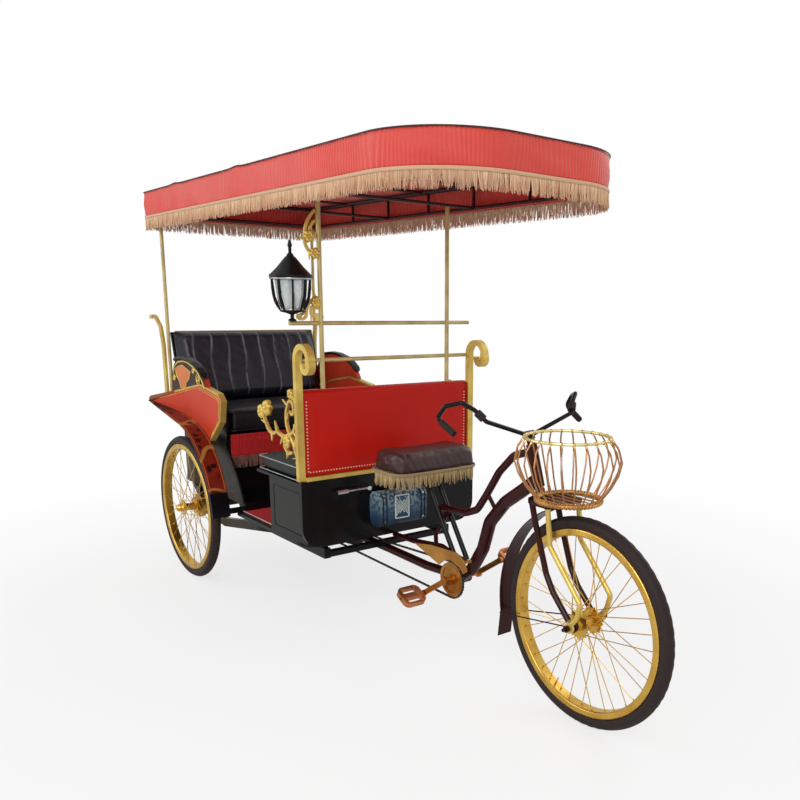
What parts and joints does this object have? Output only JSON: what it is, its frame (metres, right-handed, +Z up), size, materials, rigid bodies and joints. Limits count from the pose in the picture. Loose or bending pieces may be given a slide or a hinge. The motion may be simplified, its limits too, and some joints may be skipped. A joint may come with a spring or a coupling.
{
  "type": "electric tricycle",
  "caption": "Electric tricycle with a facing-seat open passenger cabin, long fringed canopy, carriage lantern, sprung cycle front with wire basket and saddle.",
  "frame": {"origin": "on the ground under the middle of the length, on the centre plane", "axes": "+X forward, +Y to the rider's left, +Z up"},
  "size_m": [2.9839, 1.032, 1.882],
  "materials": {
    "black_gloss": "gloss black enamel",
    "black_leather": "smooth black leatherette",
    "black_paint": "gloss black enamel",
    "brass_plate": "brass plate",
    "brass_rim": "polished yellow brass plate",
    "brass_wire": "lacquered brass wire",
    "bright_steel": "bright steel",
    "brown_leather": "dark brown leatherette",
    "chain_steel": "oiled steel",
    "copper_plate": "copper-toned plate",
    "coral_cloth": "coral-red ruched cloth",
    "dark_plastic": "dark battery case",
    "dark_steel": "dark painted steel tube",
    "gold_paint": "gloss gold paint",
    "lantern_black": "black lacquered casting",
    "lantern_glass": "clear lantern glass",
    "maroon_paint": "gloss maroon enamel",
    "motor_blue": "blue-grey enamel",
    "red_carpet": "red cut-pile carpet",
    "red_cloth": "gathered red satin",
    "red_paint": "satin orange-red paint",
    "red_vinyl": "red vinyl with brass nails",
    "rubber": "black rubber",
    "tan_fringe": "tan bullion fringe",
    "tyre": "matt black-brown rubber"
  },
  "bodies": {
    "chassis": {"arm_boards": "red_paint", "arm_pads": "black_leather", "back_board": "black_paint", "battery": "dark_plastic", "bulkhead": "red_vinyl", "bulkhead_frame": "gold_paint", "cabin_tub": "black_paint", "canopy_cloth": "coral_cloth", "canopy_frame": "dark_steel", "canopy_fringe": "tan_fringe", "carpet": "red_carpet", "chain": "chain_steel", "chain_guard": "brass_plate", "corner_strips": "gold_paint", "cycle_frame": "maroon_paint", "front_box": "black_paint", "front_cushion": "black_leather", "front_posts": "gold_paint", "kick_panel": "black_paint", "lamp_bracket": "gold_paint", "lantern": "lantern_black", "lantern_glass": "lantern_glass", "motor": "motor_blue", "panel_trims": "gold_paint", "parking_lever": "bright_steel", "rear_axle": "black_paint", "rear_cushion": "black_leather", "rear_fenders": "maroon_paint", "rear_posts": "gold_paint", "rear_seat_base": "black_paint", "saddle": "brown_leather", "saddle_fringe": "tan_fringe", "seat_back": "black_leather", "seat_mast": "black_gloss", "seat_skirt": "red_cloth", "side_panels": "red_paint", "side_scrolls": "gold_paint", "skirt_fringe": "tan_fringe", "undercarriage": "black_paint"},
    "steering": {"fork": "maroon_paint", "fork_front_legs": "gold_paint", "handlebar": "black_gloss", "grips": "rubber", "basket": "brass_wire", "front_fender": "maroon_paint"},
    "front_wheel": {"front_wheel": "brass_rim", "front_tyre": "tyre"},
    "rear_right_wheel": {"rear_right_wheel": "brass_rim", "rear_right_tyre": "tyre"},
    "rear_left_wheel": {"rear_left_wheel": "brass_rim", "rear_left_tyre": "tyre"},
    "cranks": {"crankset": "brass_plate"},
    "right_pedal": {"right_pedal": "copper_plate"},
    "left_pedal": {"left_pedal": "copper_plate"}
  },
  "joints": [
    {"name": "steering", "type": "hinge", "parent": "chassis", "child": "steering", "pos_m": [0.923, 0, 0.713], "axis": [-0.309, 0, 0.9511], "range_deg": [-40, 40]},
    {"name": "front_wheel_spin", "type": "hinge", "parent": "steering", "child": "front_wheel", "pos_m": [1.137, 0, 0.355], "axis": [0, 1, 0], "continuous": true},
    {"name": "rear_right_wheel_spin", "type": "hinge", "parent": "chassis", "child": "rear_right_wheel", "pos_m": [-1.137, -0.45, 0.355], "axis": [0, 1, 0], "continuous": true},
    {"name": "rear_left_wheel_spin", "type": "hinge", "parent": "chassis", "child": "rear_left_wheel", "pos_m": [-1.137, 0.45, 0.355], "axis": [0, 1, 0], "continuous": true},
    {"name": "crank_spin", "type": "hinge", "parent": "chassis", "child": "cranks", "pos_m": [0.488, 0, 0.335], "axis": [0, 1, 0], "continuous": true},
    {"name": "right_pedal_spin", "type": "hinge", "parent": "cranks", "child": "right_pedal", "pos_m": [0.35801, -0.145, 0.25058], "axis": [0, 1, 0], "continuous": true},
    {"name": "left_pedal_spin", "type": "hinge", "parent": "cranks", "child": "left_pedal", "pos_m": [0.61799, 0.145, 0.41942], "axis": [0, 1, 0], "continuous": true}
  ]
}
